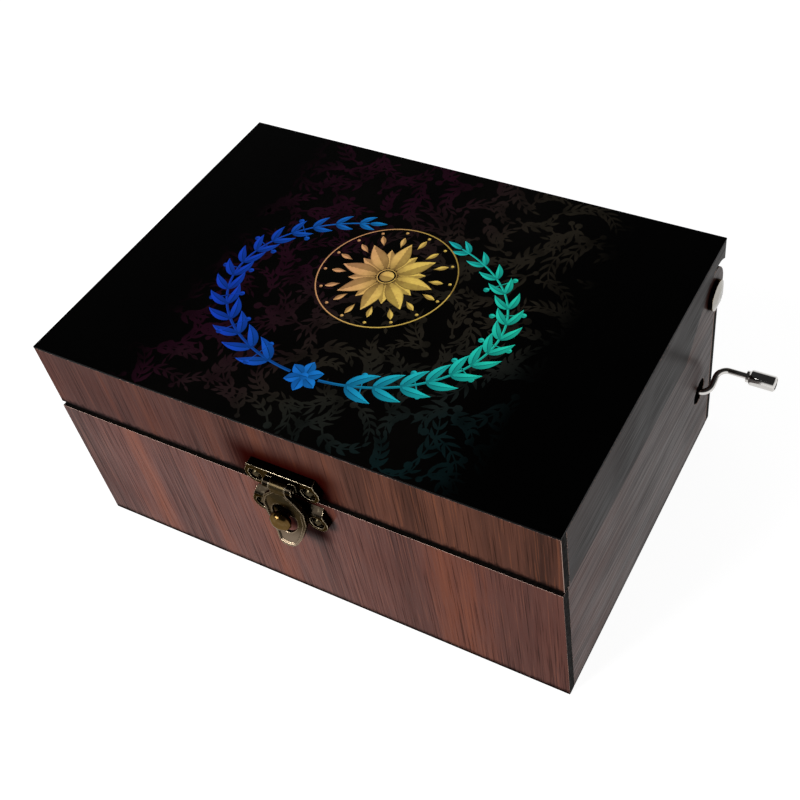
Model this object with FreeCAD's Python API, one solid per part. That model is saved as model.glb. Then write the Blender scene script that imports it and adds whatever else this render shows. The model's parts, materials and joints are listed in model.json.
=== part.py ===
import FreeCAD, Part

import math
import os

os.makedirs("parts", exist_ok=True)

# Sizes are millimetres and degrees. X runs to the crank, Y to the hinge, Z up, and the origin
# is under the middle of the base.

# Base
box_width = 165.0
box_depth = 112.0
base_height = 51.0
panel = 3.0
floor_thickness = 3.0

# Lid
lid_gap = 1.25
lid_side_gap = 0.2
rim_height = 22.75
lid_board_thickness = 3.0
print_thickness = 0.7
lid_front_setback = 0.5
lid_side_overhang = 0.2
lid_rear_overhang = 3.2
back_rim_drop = 4.0

# Hinge
ear_radius = 8.4
pivot_rise = 9.6
shoulder_angle = 45.0
notch_gap = 0.4
notch_shift = 2.2
cheek_thickness = 3.0
cheek_gap = 0.2
cheek_reach = 12.8
cheek_foot_radius = 7.0
hinge_pin_radius = 1.25
hinge_head_radius = 4.8
hinge_head_rim = 1.3
hinge_head_height = 2.2
hinge_head_gap = 0.15
hinge_head_rings = 2

# Running fits
bore_gap = 0.05
end_gap = 0.2

# Crank
crank_inset = 12.2
crank_rise = 25.0
crank_hole_radius = 4.4
wire_radius = 1.0
arm_clearance = 2.2
crank_throw = 9.4
crank_bend = 3.4
crank_rest_angle = 21.0
handle_length = 10.0
collar_radius = 1.9
collar_thickness = 0.8
knob_radius = 2.5
knob_length = 8.3
knob_chamfer = 0.45
knob_socket_radius = 1.8
knob_socket_depth = 0.9
wire_head_radius = 1.6
wire_head_thickness = 0.5

# Worm and wheel
gear_module = 0.7
wheel_teeth = 18
pressure_angle = 20.0
worm_pitch_radius = 2.6
worm_length = 10.0
worm_hub_radius = 2.5
worm_hub_length = 4.8
tooth_relief = 0.08
thread_relief = 0.12
thread_steps = 18
dedendum_factor = 1.25
wheel_width = 2.0
wheel_hub_radius = 4.0
wheel_hub_length = 2.8
wheel_inset = 24.5

# Cylinder
sleeve_radius = 6.5
sleeve_length = 20.0
pin_height = 0.8
pin_width = 0.4
pins_per_track = 3
pin_steps = 32
track_steps = 5
note_steps = 9
arbor_radius = 1.8
arbor_end_radius = 1.0
arbor_shoulder = 1.8
arbor_overrun = 1.0

# Comb
comb_teeth = 18
comb_pitch = 1.05
comb_slot = 0.35
comb_tip_gap = 0.15
comb_tooth_thickness = 0.7
comb_base_thickness = 1.6
comb_base_length = 10.0
comb_length = 25.5
comb_short_slot = 6.0
comb_margin = 0.8
comb_screws = 3

# Movement frame
movement_board_thickness = 3.0
board_margin = 3.0
bed_thickness = 2.0
bed_margin = 2.8
lug_thickness = 3.0
lug_half_width = 2.8
screw_radius = 1.0
screw_head_radius = 1.9
screw_head_height = 1.2
screw_length = 4.6
comb_screw_radius = 0.8
comb_screw_head_radius = 1.6
comb_screw_head_height = 1.0
comb_screw_length = 5.0
screw_gap = 0.05
screw_inset = 3.5

# Clasp
clasp_rise = 4.75
clasp_pin_height = 2.9
clasp_pin_radius = 0.5
knuckle_radius = 1.5
tongue_knuckle_half = 2.5
plate_knuckle_width = 2.0
plate_thickness = 2.4
nail_ear_radius = 3.4
nail_recess_radius = 2.3
nail_recess_depth = 0.7
nail_radius = 0.5
nail_depth = 2.2
nail_head_radius = 1.4
nail_head_height = 0.9
nail_head_rings = 2
ear_shoulder_angle = 40.0
upper_ear_spacing = 17.4
upper_ear_drop = 0.3
upper_front_rise = 3.6
upper_bevel = 0.6
upper_foot_drop = 2.0
notch_rise = 1.9
lower_ear_spacing = 18.1
lower_ear_drop = 1.4
lower_front_rise = 2.1
lower_bevel = 1.5
lower_foot_drop = 3.3
bevel_inset = 1.6
knob_drop = 11.2
clasp_knob_radius = 3.4
clasp_knob_neck = 1.3
clasp_knob_stem = 0.9
clasp_neck_height = 2.0
clasp_knob_height = 4.3
clasp_knob_rings = 5
tongue_thickness = 1.0
tongue_hole_half_width = 4.1
tongue_hole_half_height = 6.0
tongue_hole_drop = 0.7
tongue_rim_width = 0.9
tongue_rim_height = 0.4

# Sections of the tongue: drop under the pin, half width, rise of the middle, fall of the edges
tongue_sections = [
    (0.0, 2.5, -0.4, 0.05),
    (1.9, 2.5, -0.4, 0.1),
    (4.2, 5.2, 0.3, 0.5),
    (8.0, 6.8, 0.6, 1.1),
    (13.0, 6.6, 0.7, 1.1),
    (17.0, 5.2, 0.9, 0.9),
    (19.6, 4.2, 1.5, 0.8),
    (21.2, 3.2, 2.1, 0.5),
    (21.9, 2.0, 2.4, 0.25),
]

# Half sizes and planes that the pieces share
half_width = box_width / 2
half_depth = box_depth / 2
lid_low = base_height + lid_gap
lid_high = lid_low + rim_height
lid_half_width = half_width + lid_side_overhang
lid_front = -half_depth + lid_front_setback
lid_rear = half_depth + lid_rear_overhang
pivot = (lid_rear - ear_radius, base_height + pivot_rise)
crank_y = half_depth - crank_inset
handle_start = half_width + arm_clearance + wire_radius


def vec(x, y, z):
    return FreeCAD.Vector(x, y, z)


def polar(centre, radius, degrees):
    """A point of a circle in any plane."""
    angle = math.radians(degrees)
    return (centre[0] + radius * math.cos(angle), centre[1] + radius * math.sin(angle))


def block(x, y, z):
    """A box between three pairs of coordinates."""
    return Part.makeBox(x[1] - x[0], y[1] - y[0], z[1] - z[0], vec(x[0], y[0], z[0]))


def bar(start, end, radius):
    """A round bar from one point to another."""
    return Part.makeCylinder(radius, (end - start).Length, start, end - start)


def face(place, steps):
    """A flat face. A step is a point, or the middle and the end of an arc, mapped by place."""
    edges = []
    here = place(*steps[0])
    for step in steps[1:] + steps[:1]:
        if isinstance(step[0], tuple):
            end = place(*step[1])
            edges.append(Part.Arc(here, place(*step[0]), end).toShape())
        else:
            end = place(*step)
            edges.append(Part.makeLine(here, end))
        here = end
    return Part.Face(Part.Wire(edges))


def turned(place, steps, start, end):
    """A solid of revolution of a flat face about the line from start to end."""
    return face(place, steps).revolve(place(*start), place(*end) - place(*start), 360)


def both(shape):
    """A shape and its mirror image across the middle of the box."""
    return [shape, shape.mirror(vec(0, 0, 0), vec(1, 0, 0))]


def save(name, shape):
    shape.exportStep("parts/" + name + ".step")


# Case panels


def shoulder_foot(point, height):
    """Where the sloping line through a point of the hinge's shoulder comes down to a height."""
    return (point[0] - (point[1] - height) / math.tan(math.radians(shoulder_angle)), height)


def base_side_panel():
    """A side wall of the base with the ear that carries the hinge."""
    inner = half_depth - panel
    crest = 90 + shoulder_angle
    neck = -math.degrees(math.acos((half_depth - pivot[0]) / ear_radius))
    touch = polar(pivot, ear_radius, crest)
    steps = [
        (-inner, 0),
        (-inner, base_height),
        shoulder_foot(touch, base_height),
        touch,
        (polar(pivot, ear_radius, (crest + neck) / 2), polar(pivot, ear_radius, neck)),
        (half_depth, base_height),
        (inner, base_height),
        (inner, 0),
    ]
    wall = face(lambda y, z: vec(half_width - panel, y, z), steps).extrude(vec(panel, 0, 0))
    bore_start = vec(half_width - 2 * panel, *pivot)
    return wall.cut(bar(bore_start, vec(half_width + panel, *pivot), hinge_pin_radius + bore_gap))


def crank_hole():
    start = vec(half_width - 2 * panel, crank_y, crank_rise)
    return bar(start, vec(half_width + panel, crank_y, crank_rise), crank_hole_radius)


def base_end_panel(outer):
    """The front or back wall, which laps the ends of the side walls."""
    inner = outer - math.copysign(panel, outer)
    return block((-half_width, half_width), sorted((outer, inner)), (0, base_height))


def base_floor():
    x = half_width - panel
    y = half_depth - panel
    return block((-x, x), (-y, y), (0, floor_thickness))


def lid_side_rim():
    """A side rim of the lid, notched to swing round the base's ear."""
    slope = 90 + shoulder_angle
    centre = polar(pivot, -notch_shift, slope)
    radius = ear_radius + notch_gap + notch_shift
    touch = polar(centre, radius, slope)
    rear = math.degrees(math.acos((lid_rear - centre[0]) / radius))
    low = base_height + lid_side_gap
    steps = [
        (lid_front + panel, low),
        shoulder_foot(touch, low),
        touch,
        (polar(centre, radius, (slope + rear) / 2), polar(centre, radius, rear)),
        (lid_rear, lid_high),
        (lid_front + panel, lid_high),
    ]
    return face(lambda y, z: vec(lid_half_width - panel, y, z), steps).extrude(vec(panel, 0, 0))


def notch_top():
    """The height at which the notch leaves the rear of the lid."""
    centre = polar(pivot, -notch_shift, 90 + shoulder_angle)
    radius = ear_radius + notch_gap + notch_shift
    return centre[1] + math.sqrt(radius ** 2 - (lid_rear - centre[0]) ** 2)


def lid_front_rim():
    rim = (lid_front, lid_front + panel)
    return block((-lid_half_width, lid_half_width), rim, (lid_low, lid_high))


def lid_back_rim():
    """The back rim, glued between the side rims and cut back beside the ears."""
    outer = lid_half_width - panel
    inner = half_width - panel - cheek_gap
    rim = (lid_rear - panel, lid_rear)
    whole = block((-outer, outer), rim, (pivot[1] - back_rim_drop, lid_high))
    relief = block((inner, half_width), rim, (base_height, notch_top()))
    for cut in both(relief):
        whole = whole.cut(cut)
    return whole


def lid_board():
    x = lid_half_width - panel
    y = (lid_front + panel, lid_rear - panel)
    return block((-x, x), y, (lid_high - lid_board_thickness, lid_high))


def lid_print_sheet():
    x = (-lid_half_width, lid_half_width)
    return block(x, (lid_front, lid_rear), (lid_high, lid_high + print_thickness))


# Hinge


def hinge_cheek():
    """A plate glued under the lid's board and to its back rim, which the hinge pin is pressed in."""
    outer = half_width - panel - cheek_gap
    top = lid_high - lid_board_thickness
    rear = lid_rear - panel
    front = pivot[0] - cheek_reach
    reach = math.hypot(front - pivot[0], top - pivot[1])
    bearing = math.degrees(math.atan2(top - pivot[1], front - pivot[0]))
    touch = bearing + math.degrees(math.acos(cheek_foot_radius / reach))
    leave = 360 - math.degrees(math.acos((rear - pivot[0]) / cheek_foot_radius))
    steps = [
        (rear, top),
        (front, top),
        polar(pivot, cheek_foot_radius, touch),
        (
            polar(pivot, cheek_foot_radius, (touch + leave) / 2),
            polar(pivot, cheek_foot_radius, leave),
        ),
    ]
    inner = outer - cheek_thickness
    plate = face(lambda y, z: vec(inner, y, z), steps).extrude(vec(cheek_thickness, 0, 0))
    return plate.cut(bar(vec(inner, *pivot), vec(outer, *pivot), hinge_pin_radius))


def dome(edge, crown, radius, rings):
    """The rings of a dome from its edge to its crown, as (along, out)."""
    rise = crown - edge
    sphere = (rise ** 2 + radius ** 2) / (2 * rise)
    rim = math.degrees(math.asin(radius / sphere))
    return [polar((crown - sphere, 0), sphere, rim * (1 - n / rings)) for n in range(rings + 1)]


def hinge_pin():
    """A domed pin that runs in the base's ear."""
    inner = half_width - panel - cheek_gap - cheek_thickness
    seat = half_width + hinge_head_gap
    edge = seat + hinge_head_rim
    steps = [
        (inner, 0),
        (inner, hinge_pin_radius),
        (seat, hinge_pin_radius),
        (seat, hinge_head_radius),
    ] + dome(edge, seat + hinge_head_height, hinge_head_radius, hinge_head_rings)
    place = lambda x, r: vec(x, pivot[0] + r, pivot[1])
    return turned(place, steps, (inner, 0), (seat, 0))


# Crank


def crank_place(x, out):
    """A point beside the crank's axis, out along the throw."""
    y, z = polar((crank_y, crank_rise), out, crank_rest_angle)
    return vec(x, y, z)


def frame_lug_planes():
    """The inner faces of the two lugs that the crank wire runs in."""
    middle = half_width - wheel_inset
    reach = worm_length / 2 + worm_hub_length + end_gap
    return (middle - reach, middle + reach)


def quarter_bend(centre, start, axis):
    """A quarter of a ring of the wire, bent round a centre from a point on its middle line."""
    across = (start - centre).cross(axis)
    section = Part.Face(Part.Wire(Part.makeCircle(wire_radius, start, across)))
    return section.revolve(centre, axis, 90)


def crank_rod():
    """The wire that is the worm's shaft, the arm and the handle, with its end set as a rivet."""
    start = frame_lug_planes()[0] - lug_thickness - arbor_overrun
    end = handle_start + handle_length + knob_length - knob_socket_depth + end_gap
    outward = vec(1, 0, 0)
    along_arm = crank_place(0, 1) - crank_place(0, 0)
    axis = outward.cross(along_arm)
    shaft_end = crank_place(handle_start - crank_bend, 0)
    arm_start = crank_place(handle_start, crank_bend)
    arm_end = crank_place(handle_start, crank_throw - crank_bend)
    grip_start = crank_place(handle_start + crank_bend, crank_throw)
    grip_end = crank_place(end, crank_throw)
    pieces = [
        quarter_bend(crank_place(handle_start - crank_bend, crank_bend), shaft_end, axis),
        bar(arm_start, arm_end, wire_radius),
        quarter_bend(crank_place(handle_start + crank_bend, crank_throw - crank_bend), arm_end, -axis),
        bar(grip_start, grip_end, wire_radius),
        bar(grip_end, grip_end + outward * wire_head_thickness, wire_head_radius),
    ]
    wire = bar(crank_place(start, 0), shaft_end, wire_radius)
    for piece in pieces:
        wire = wire.fuse(piece)
    return wire


def crank_collar():
    """A ring pressed on the handle behind the knob."""
    end = handle_start + handle_length - end_gap
    start = crank_place(end - collar_thickness, crank_throw)
    stop = crank_place(end, crank_throw)
    return bar(start, stop, collar_radius).cut(bar(start, stop, wire_radius))


def crank_knob():
    """The turned knob that spins on the handle, with a socket round the wire's riveted end."""
    low = handle_start + handle_length
    high = low + knob_length
    bore = wire_radius + bore_gap
    socket = high - knob_socket_depth
    steps = [
        (low, bore),
        (low, knob_radius - knob_chamfer),
        (low + knob_chamfer, knob_radius),
        (high - knob_chamfer, knob_radius),
        (high, knob_radius - knob_chamfer),
        (high, knob_socket_radius),
        (socket, knob_socket_radius),
        (socket, bore),
    ]
    y, z = polar((crank_y, crank_rise), crank_throw, crank_rest_angle)
    return turned(lambda x, r: vec(x, y + r, z), steps, (low, 0), (high, 0))


# Worm and wheel

wheel_pitch_radius = gear_module * wheel_teeth / 2
wheel_tip_radius = wheel_pitch_radius + gear_module
wheel_x = half_width - wheel_inset
arbor_z = crank_rise - worm_pitch_radius - wheel_pitch_radius
worm_lead = math.pi * gear_module
worm_root_radius = worm_pitch_radius - dedendum_factor * gear_module


def worm_thread():
    """The thread, right-handed and faceted, its middle pointing down at the wheel."""
    tip = worm_pitch_radius + gear_module
    root = worm_root_radius - gear_module / 2
    slope = math.tan(math.radians(pressure_angle))
    half = worm_lead / 4 - thread_relief
    tip_half = half - gear_module * slope
    root_half = half + (worm_pitch_radius - root) * slope
    corners = [(-root_half, root), (-tip_half, tip), (tip_half, tip), (root_half, root)]
    count = 2 * math.floor(worm_length / worm_lead * thread_steps / 2)
    rings = []
    for n in range(count + 1):
        shift = (n - count / 2) / thread_steps
        ring = []
        for along, radius in corners:
            y, z = polar((crank_y, crank_rise), radius, 360 * shift - 90)
            ring.append(vec(wheel_x + worm_lead * shift + along, y, z))
        rings.append(ring)
    flats = [Part.makePolygon(ring + ring[:1]) for ring in (rings[0], rings[-1])]
    for near, far in zip(rings, rings[1:]):
        for n in range(4):
            m = (n + 1) % 4
            flats.append(Part.makePolygon([near[n], near[m], far[m], near[n]]))
            flats.append(Part.makePolygon([near[n], far[m], far[n], near[n]]))
    return Part.Solid(Part.Shell([Part.Face(flat) for flat in flats]))


def drive_worm():
    """A single-start worm between two hubs, pressed on the crank wire."""
    low, high = frame_lug_planes()
    low += end_gap
    high -= end_gap
    ring = []
    for n in range(thread_steps):
        y, z = polar((crank_y, crank_rise), worm_root_radius, 360 * n / thread_steps - 90)
        ring.append(vec(low, y, z))
    core = Part.Face(Part.makePolygon(ring + ring[:1])).extrude(vec(high - low, 0, 0))
    for x in (low, high - worm_hub_length + worm_lead / 2):
        start = vec(x, crank_y, crank_rise)
        core = core.fuse(bar(start, start + vec(worm_hub_length - worm_lead / 2, 0, 0), worm_hub_radius))
    bore = bar(vec(low, crank_y, crank_rise), vec(high, crank_y, crank_rise), wire_radius)
    return core.fuse(worm_thread()).cut(bore).removeSplitter()


def tooth_half_angle(radius):
    """Half the angle that an involute tooth of the wheel takes at a radius, in degrees."""
    base = wheel_pitch_radius * math.cos(math.radians(pressure_angle))
    pitch_half = math.pi / (2 * wheel_teeth) - tooth_relief / wheel_pitch_radius
    grow = math.radians(pressure_angle)
    at = math.acos(min(1, base / radius))
    return math.degrees(pitch_half + (math.tan(grow) - grow) - (math.tan(at) - at))


def wheel_outline(y, twist):
    """The toothed outline of the wheel at a plane, with a gap under the worm."""
    root = wheel_pitch_radius - dedendum_factor * gear_module
    base = wheel_pitch_radius * math.cos(math.radians(pressure_angle))
    middle = (base + wheel_tip_radius) / 2
    edges = []
    points = []
    for tooth in range(wheel_teeth):
        centre = 90 + twist + 360 * (tooth + 0.5) / wheel_teeth
        for radius, side in ((root, -1), (base, -1), (middle, -1), (wheel_tip_radius, -1)):
            points.append((radius, centre + side * tooth_half_angle(max(radius, base))))
        for radius in (wheel_tip_radius, middle, base, root):
            points.append((radius, centre + tooth_half_angle(max(radius, base))))
    for radius, angle in points:
        x, z = polar((wheel_x, arbor_z), radius, angle)
        edges.append(vec(x, y, z))
    return Part.makePolygon(edges + edges[:1])


def worm_wheel():
    """The wheel, its teeth twisted to follow the worm's lead, and its hub."""
    lead_slope = worm_lead / (2 * math.pi * worm_pitch_radius)
    twist = math.degrees(wheel_width / 2 * lead_slope / wheel_pitch_radius)
    low = crank_y - wheel_width / 2
    high = crank_y + wheel_width / 2
    rim = Part.makeLoft([wheel_outline(low, twist), wheel_outline(high, -twist)], True, True)
    centre = vec(wheel_x, 0, arbor_z)
    hub = bar(centre + vec(0, low - wheel_hub_length, 0), centre + vec(0, low, 0), wheel_hub_radius)
    start = centre + vec(0, low - wheel_hub_length, 0)
    return rim.fuse(hub).cut(bar(start, centre + vec(0, high, 0), arbor_radius))


# Cylinder

sleeve_high = crank_y - wheel_width / 2 - wheel_hub_length
sleeve_low = sleeve_high - sleeve_length
arbor_low = sleeve_low - arbor_shoulder
arbor_high = crank_y + wheel_width / 2 + arbor_shoulder
sleeve_middle = (sleeve_low + sleeve_high) / 2


def arbor_point(y):
    return vec(wheel_x, y, arbor_z)


def cylinder_sleeve():
    start = arbor_point(sleeve_low)
    end = arbor_point(sleeve_high)
    return bar(start, end, sleeve_radius).cut(bar(start, end, arbor_radius))


def tooth_y(index):
    """The middle of a comb tooth along the cylinder."""
    return sleeve_middle + (index - (comb_teeth - 1) / 2) * comb_pitch


def cylinder_pins():
    """The pins that pluck the comb, one row of them under each tooth."""
    sleeve = bar(arbor_point(sleeve_low), arbor_point(sleeve_high), sleeve_radius)
    half = pin_width / 2
    pins = []
    for track in range(comb_teeth):
        y = tooth_y(track)
        for note in range(pins_per_track):
            step = (track * track_steps + note * (note_steps + note)) % pin_steps
            high = arbor_z + sleeve_radius + pin_height
            low = arbor_z + sleeve_radius - half
            pin = block((wheel_x - half, wheel_x + half), (y - half, y + half), (low, high))
            pin.rotate(arbor_point(0), vec(0, 1, 0), 360 * step / pin_steps)
            pins.append(pin.cut(sleeve))
    return Part.makeCompound([solid for pin in pins for solid in pin.Solids])


def cylinder_arbor():
    """The turned arbor, whose thinner ends run in the frame's lugs."""
    out = end_gap + lug_thickness + arbor_overrun
    steps = [
        (arbor_low - out, 0),
        (arbor_low - out, arbor_end_radius),
        (arbor_low, arbor_end_radius),
        (arbor_low, arbor_radius),
        (arbor_high, arbor_radius),
        (arbor_high, arbor_end_radius),
        (arbor_high + out, arbor_end_radius),
        (arbor_high + out, 0),
    ]
    place = lambda y, r: vec(wheel_x + r, y, arbor_z)
    return turned(place, steps, (arbor_low, 0), (arbor_high, 0))


# Comb and frame

bed_low = floor_thickness + movement_board_thickness
bed_high = bed_low + bed_thickness
comb_tip = wheel_x - sleeve_radius - pin_height - comb_tip_gap
comb_back = comb_tip - comb_length
comb_low = arbor_z - comb_tooth_thickness / 2
comb_half = comb_teeth * comb_pitch / 2 + comb_margin
bed_x = (comb_back - bed_margin, frame_lug_planes()[1] + lug_thickness)
bed_y = (arbor_low - end_gap - lug_thickness - bed_margin, arbor_high + end_gap + lug_thickness)


def comb_screw_places():
    x = comb_back + comb_base_length / 2
    spread = comb_half - screw_inset
    return [(x, sleeve_middle + spread * (2 * n / (comb_screws - 1) - 1)) for n in range(comb_screws)]


def steel_comb():
    """The comb, its thick base on the frame's step and its teeth longest at the low notes."""
    y = (sleeve_middle - comb_half, sleeve_middle + comb_half)
    base = (comb_back, comb_back + comb_base_length)
    comb = block((comb_back, comb_tip), y, (comb_low, comb_low + comb_tooth_thickness))
    comb = comb.fuse(block(base, y, (comb_low, comb_low + comb_base_thickness)))
    longest = comb_length - comb_base_length - comb_slot
    z = (comb_low - comb_slot, comb_low + comb_base_thickness + comb_slot)
    half = comb_slot / 2
    for index in range(comb_teeth + 1):
        middle = tooth_y(index) - comb_pitch / 2
        length = longest + (comb_short_slot - longest) * index / comb_teeth
        slot = block((comb_tip - length, comb_tip + comb_slot), (middle - half, middle + half), z)
        comb = comb.cut(slot)
    for index, end in ((0, y[0]), (comb_teeth, y[1])):
        middle = tooth_y(index) - comb_pitch / 2
        length = longest + (comb_short_slot - longest) * index / comb_teeth
        corner = block((comb_tip - length, comb_tip + comb_slot), sorted((middle, end)), z)
        comb = comb.cut(corner)
    for x, y in comb_screw_places():
        hole = comb_screw_radius + screw_gap
        comb = comb.cut(bar(vec(x, y, z[0]), vec(x, y, z[1]), hole))
    return comb.removeSplitter()


def cheese_screw(x, y, seat, radius, length, head_radius, head_height):
    """A cheese head screw standing on a seat."""
    head = bar(vec(x, y, seat), vec(x, y, seat + head_height), head_radius)
    return head.fuse(bar(vec(x, y, seat - length), vec(x, y, seat), radius))


def comb_screw_group():
    seat = comb_low + comb_base_thickness
    sizes = (comb_screw_radius, comb_screw_length, comb_screw_head_radius, comb_screw_head_height)
    return Part.makeCompound([cheese_screw(x, y, seat, *sizes) for x, y in comb_screw_places()])


def frame_screw_places():
    left = bed_x[0] + screw_inset
    right = frame_lug_planes()[1] - screw_inset
    return [(x, y) for x in (left, right) for y in (bed_y[0] + screw_inset, bed_y[1] - screw_inset)]


def frame_screw_group():
    sizes = (screw_radius, screw_length, screw_head_radius, screw_head_height)
    return Part.makeCompound([cheese_screw(x, y, bed_high, *sizes) for x, y in frame_screw_places()])


def drill(shape, places, top, depth, radius):
    """A shape with round holes down from a height."""
    for x, y in places:
        shape = shape.cut(bar(vec(x, y, top), vec(x, y, top - depth), radius + screw_gap))
    return shape


def lug(place, along, middle, axis_height, bore):
    """A bearing lug with a round top, standing on the bed."""
    high = axis_height + lug_half_width
    steps = [
        (middle - lug_half_width, bed_high),
        (middle - lug_half_width, axis_height),
        ((middle, high), (middle + lug_half_width, axis_height)),
        (middle + lug_half_width, bed_high),
    ]
    centre = place(middle, axis_height)
    hole = bar(centre, centre + along, bore + bore_gap)
    return face(place, steps).extrude(along).cut(hole)


def movement_frame():
    """The bedplate with the comb's step and the four bearing lugs."""
    frame = block(bed_x, bed_y, (bed_low, bed_high))
    step_y = (sleeve_middle - comb_half, sleeve_middle + comb_half)
    frame = frame.fuse(block((comb_back, comb_back + comb_base_length), step_y, (bed_high, comb_low)))
    low, high = frame_lug_planes()
    for x in (low - lug_thickness, high):
        place = lambda y, z: vec(x, y, z)
        frame = frame.fuse(lug(place, vec(lug_thickness, 0, 0), crank_y, crank_rise, wire_radius))
    for y in (arbor_low - end_gap - lug_thickness, arbor_high + end_gap):
        place = lambda x, z: vec(x, y, z)
        frame = frame.fuse(lug(place, vec(0, lug_thickness, 0), wheel_x, arbor_z, arbor_end_radius))
    depth = comb_screw_length + end_gap - comb_base_thickness
    frame = drill(frame, comb_screw_places(), comb_low, depth, comb_screw_radius)
    return drill(frame, frame_screw_places(), bed_high, bed_thickness, screw_radius).removeSplitter()


def movement_board():
    x = (bed_x[0] - board_margin, bed_x[1] + board_margin)
    y = (bed_y[0] - board_margin, bed_y[1] + bed_margin)
    board = block(x, y, (floor_thickness, bed_low))
    depth = screw_length + end_gap - bed_thickness
    return drill(board, frame_screw_places(), bed_low, depth, screw_radius)


# Clasp

clasp_pin_z = lid_low + clasp_rise
clasp_knob_z = clasp_pin_z - knob_drop
front = -half_depth
clasp_axis_y = front - clasp_pin_height
knuckle_outer = tongue_knuckle_half + end_gap + plate_knuckle_width


def clasp_plate(seat, spacing, ear_z, front_z, bevel, foot_z):
    """A cast plate with two nail ears, bevelled along its top, standing out from a seat."""
    half = spacing / 2
    top = front_z + bevel
    corner = half + nail_ear_radius - bevel_inset
    left = (-half, ear_z)
    right = (half, ear_z)
    foot = math.degrees(math.asin((foot_z - ear_z) / nail_ear_radius))
    shoulder = ear_shoulder_angle
    bottom = (shoulder - 180 - foot) / 2
    steps = [
        (-corner, top),
        (corner, top),
        polar(right, nail_ear_radius, shoulder),
        (polar(right, nail_ear_radius, bottom), polar(right, nail_ear_radius, -180 - foot)),
        polar(left, nail_ear_radius, foot),
        (polar(left, nail_ear_radius, -180 - bottom), polar(left, nail_ear_radius, -180 - shoulder)),
    ]
    shape = face(lambda x, z: vec(x, seat, z), steps).extrude(vec(0, -plate_thickness, 0))
    reach = half + 2 * nail_ear_radius
    wedge = [(seat, top), (seat - plate_thickness, front_z), (seat - 2 * plate_thickness, front_z),
             (seat - 2 * plate_thickness, top + bevel), (seat, top + bevel)]
    bevel_cut = face(lambda y, z: vec(-reach, y, z), wedge).extrude(vec(2 * reach, 0, 0))
    shape = shape.cut(bevel_cut)
    for x, z in (left, right):
        outer = vec(x, seat - plate_thickness, z)
        shape = shape.cut(bar(outer, outer + vec(0, nail_recess_depth, 0), nail_recess_radius))
        shape = shape.cut(bar(outer, vec(x, seat, z), nail_radius))
    return shape


def upper_plate():
    """The plate on the lid, notched for the tongue, with the two knuckles that hold its pin."""
    shape = clasp_plate(
        lid_front,
        upper_ear_spacing,
        clasp_pin_z - upper_ear_drop,
        clasp_pin_z + upper_front_rise,
        upper_bevel,
        clasp_pin_z - upper_foot_drop,
    )
    inner = tongue_knuckle_half + end_gap
    for sign in (-1, 1):
        start = vec(sign * inner, clasp_axis_y, clasp_pin_z)
        end = vec(sign * knuckle_outer, clasp_axis_y, clasp_pin_z)
        web = sorted((sign * inner, sign * knuckle_outer))
        heights = (clasp_pin_z - knuckle_radius, clasp_pin_z + knuckle_radius)
        shape = shape.fuse(bar(start, end, knuckle_radius))
        shape = shape.fuse(block(web, (clasp_axis_y, lid_front - plate_thickness / 2), heights))
    gap = block((-inner, inner), (clasp_axis_y - knuckle_radius, lid_front),
                (clasp_pin_z - 2 * knuckle_radius, clasp_pin_z + notch_rise))
    bore = bar(vec(-knuckle_outer, clasp_axis_y, clasp_pin_z), vec(knuckle_outer, clasp_axis_y, clasp_pin_z),
               clasp_pin_radius)
    return shape.cut(gap).cut(bore).removeSplitter()


def clasp_pin():
    reach = knuckle_outer + end_gap
    return bar(vec(-reach, clasp_axis_y, clasp_pin_z), vec(reach, clasp_axis_y, clasp_pin_z),
               clasp_pin_radius)


def catch_plate():
    """The plate on the base that carries the knob."""
    shape = clasp_plate(
        front,
        lower_ear_spacing,
        clasp_knob_z - lower_ear_drop,
        clasp_knob_z + lower_front_rise,
        lower_bevel,
        clasp_knob_z - lower_foot_drop,
    )
    stem = bar(vec(0, front, clasp_knob_z), vec(0, front - plate_thickness, clasp_knob_z), clasp_knob_stem)
    return shape.cut(stem)


def clasp_knob():
    """The round knob that the tongue snaps over, its stem set through the plate."""
    half = clasp_knob_height / 2
    belly = plate_thickness + clasp_neck_height + half
    neck = math.degrees(math.asin(clasp_knob_neck / clasp_knob_radius))
    turns = [neck + (180 - neck) * n / clasp_knob_rings for n in range(clasp_knob_rings + 1)]
    head = [polar((0, 0), 1, 180 - turn) for turn in turns]
    steps = [
        (0, 0),
        (0, clasp_knob_stem),
        (plate_thickness, clasp_knob_stem),
        (plate_thickness, clasp_knob_neck),
    ] + [(belly + half * along, clasp_knob_radius * out) for along, out in head]
    place = lambda out, r: vec(r, front - out, clasp_knob_z)
    return turned(place, steps, (0, 0), (belly, 0))


def nail_pair(seat, spacing, z):
    """Two round headed nails through a plate's ears into the wood."""
    head = plate_thickness - nail_recess_depth
    steps = [
        (-nail_depth, 0),
        (-nail_depth, nail_radius),
        (head, nail_radius),
    ] + dome(head, head + nail_head_height, nail_head_radius, nail_head_rings)
    nails = []
    for x in (-spacing / 2, spacing / 2):
        nails.append(turned(lambda out, r: vec(x + r, seat - out, z), steps, (-nail_depth, 0), (head, 0)))
    return Part.makeCompound(nails)


def nail_holes(wood, seat, spacing, z):
    for x in (-spacing / 2, spacing / 2):
        wood = wood.cut(bar(vec(x, seat, z), vec(x, seat + nail_depth, z), nail_radius))
    return wood


def tongue_leaf(sections, trim, lift, depth):
    """A dished leaf through sections, less a trim, from a lift over their face to a depth under it."""
    wires = []
    for drop, half, rise, fall in sections:
        z = clasp_pin_z - drop
        outer = clasp_axis_y - knuckle_radius - rise - lift
        inner = outer + lift + depth
        edge = half - trim
        droop = fall * (edge / half) ** 2
        corners = [
            (-edge, outer + droop),
            ((0, outer), (edge, outer + droop)),
            (edge, inner + droop),
            ((0, inner), (-edge, inner + droop)),
        ]
        wires.append(face(lambda x, y: vec(x, y, z), corners).OuterWire)
    return Part.makeLoft(wires, True, True)


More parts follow.
